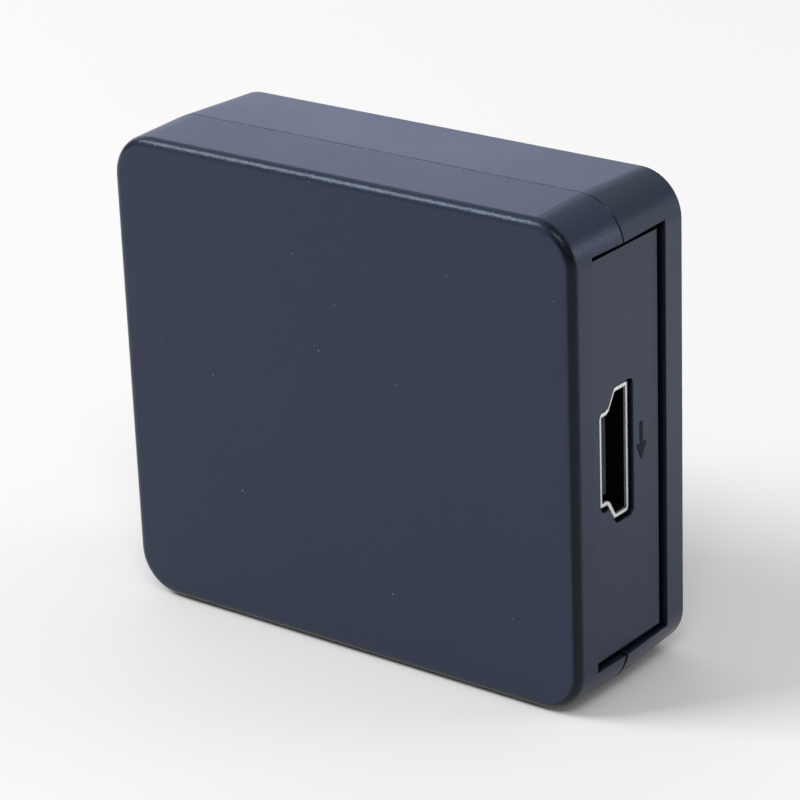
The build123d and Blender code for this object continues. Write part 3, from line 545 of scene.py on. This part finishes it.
can_steel = plated("can_steel", (0.62, 0.62, 0.61), 0.3)
coil_ferrite = moulded("coil_ferrite", (0.06, 0.06, 0.065), 0.6, grain=0.2)
can_aluminium = plated("can_aluminium", (0.75, 0.76, 0.77), 0.28, lines="Along X")
ceramic_body = moulded("ceramic_body", (0.4, 0.28, 0.17), 0.5)
# near-black arrow colour: painted shade, standing in for the shaded strokes of a moulded mark
arrow_painted_shade = moulded("arrow_painted_shade", (0.006, 0.008, 0.016), 0.5, specular=0.1)

FINISHES = {
    case_black: ["base_shell", "lid_shell"],
    board_green: ["circuit_board"],
    input_sheet: ["input_socket_shell"],
    socket_black: [
        "input_socket_tongue", "power_socket_tongue", "crystal_base", "capacitor_bases"
    ],
    # the input contacts take the darkened gold of painted shade
    painted_shade_gilt: ["input_socket_contacts"],
    contact_gilt: ["power_socket_contacts", "switch_clip"],
    power_sheet: ["power_socket_shell"],
    switch_sheet: ["switch_frame"],
    brown_board: ["switch_base"],
    lead_tin: [
        "switch_pins", "converter_chip_leads", "memory_chip_leads", "voltage_regulator_leads"
    ],
    knob_black: ["switch_slider"],
    chip_resin: ["converter_chip", "memory_chip", "voltage_regulator", "chip_resistors"],
    can_steel: ["crystal_can"],
    coil_ferrite: ["power_coil"],
    can_aluminium: ["capacitor_cans"],
    ceramic_body: ["ceramic_capacitors"],
    collar_yellow: ["video_jack_collar"],
    collar_white: ["left_sound_jack_collar"],
    collar_red: ["right_sound_jack_collar"],
}
for jack in ("video_jack", "left_sound_jack", "right_sound_jack"):
    FINISHES.setdefault(jack_block, []).append(f"{jack}_body")
    FINISHES.setdefault(jack_plate, []).append(f"{jack}_sleeve")
    FINISHES.setdefault(insulator_nylon, []).append(f"{jack}_insulator")
    FINISHES[contact_gilt].append(f"{jack}_tip_contact")
for finish, names in FINISHES.items():
    for name in names:
        slots = nodes[name].data.materials
        slots.clear()
        slots.append(finish)


def add_input_arrow():
    """Plain arrow that points along the input socket, standing a hair proud of the end panel; its
    near-black colour paints the shade of a moulded mark's strokes.
    """
    panel_x = socket_high.x + INPUT_RECESS * MM
    middle_y = socket_high.y + ARROW_BESIDE * MM
    middle_z = (socket_low.z + socket_high.z) / 2
    half_length, half_width = ARROW_LENGTH / 2 * MM, ARROW_WIDTH / 2 * MM
    half_shaft = ARROW_SHAFT / 2 * MM
    # outline as (along the width, up): the head is as long as it is wide
    head_base = 2 * half_width - half_length
    outline = [
        (-half_shaft, half_length),
        (-half_shaft, head_base),
        (-half_width, head_base),
        (0, -half_length),
        (half_width, head_base),
        (half_shaft, head_base),
        (half_shaft, half_length),
    ]
    mesh = bmesh.new()
    points = [mesh.verts.new((panel_x, middle_y + y, middle_z + z)) for y, z in outline]
    face = mesh.faces.new(points)
    raised = bmesh.ops.extrude_face_region(mesh, geom=[face])
    moved = [v for v in raised["geom"] if isinstance(v, bmesh.types.BMVert)]
    bmesh.ops.translate(mesh, verts=moved, vec=(ARROW_HEIGHT * MM, 0, 0))
    bmesh.ops.recalc_face_normals(mesh, faces=mesh.faces)
    data = bpy.data.meshes.new("input_arrow")
    mesh.to_mesh(data)
    mesh.free()
    arrow = bpy.data.objects.new("input_arrow", data)
    bpy.context.scene.collection.objects.link(arrow)
    # near-black colour of painted shade
    data.materials.append(arrow_painted_shade)
    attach(arrow, "housing")


def add_floor():
    """Plain pale floor that keeps the object's shadow."""
    data = bpy.data.meshes.new("floor")
    reach = FLOOR_REACH
    data.from_pydata(
        [(-reach, -reach, 0), (reach, -reach, 0), (reach, reach, 0), (-reach, reach, 0)],
        [], [(0, 1, 2, 3)],
    )
    floor = bpy.data.objects.new("floor", data)
    bpy.context.scene.collection.objects.link(floor)
    material, _, shader = new_material("pale_floor")
    shader.inputs["Base Color"].default_value = FLOOR_WHITE
    shader.inputs["Roughness"].default_value = 0.9
    shader.inputs["Specular IOR Level"].default_value = 0.2
    data.materials.append(material)


def light_world():
    """Soft light from all round the studio, a little stronger from overhead."""
    world = bpy.data.worlds.new("studio")
    bpy.context.scene.world = world
    world.use_nodes = True
    tree = world.node_tree
    light = tree.nodes["Background"]
    direction = along(tree, tree.nodes.new("ShaderNodeTexCoord").outputs["Generated"])
    strength = ramp(
        tree, direction["Z"], HORIZON_ENDS, OVERHEAD_STARTS, HORIZON_STRENGTH, OVERHEAD_STRENGTH
    )
    feed(tree, light.inputs["Strength"], strength)
    light.inputs["Color"].default_value = (1, 1, 1, 1)


add_input_arrow()
add_camera()
add_floor()
light_world()
for lamp_name, lamp_values in LAMPS.items():
    add_lamp(lamp_name, *lamp_values)

bpy.context.scene.view_settings.view_transform = "Standard"
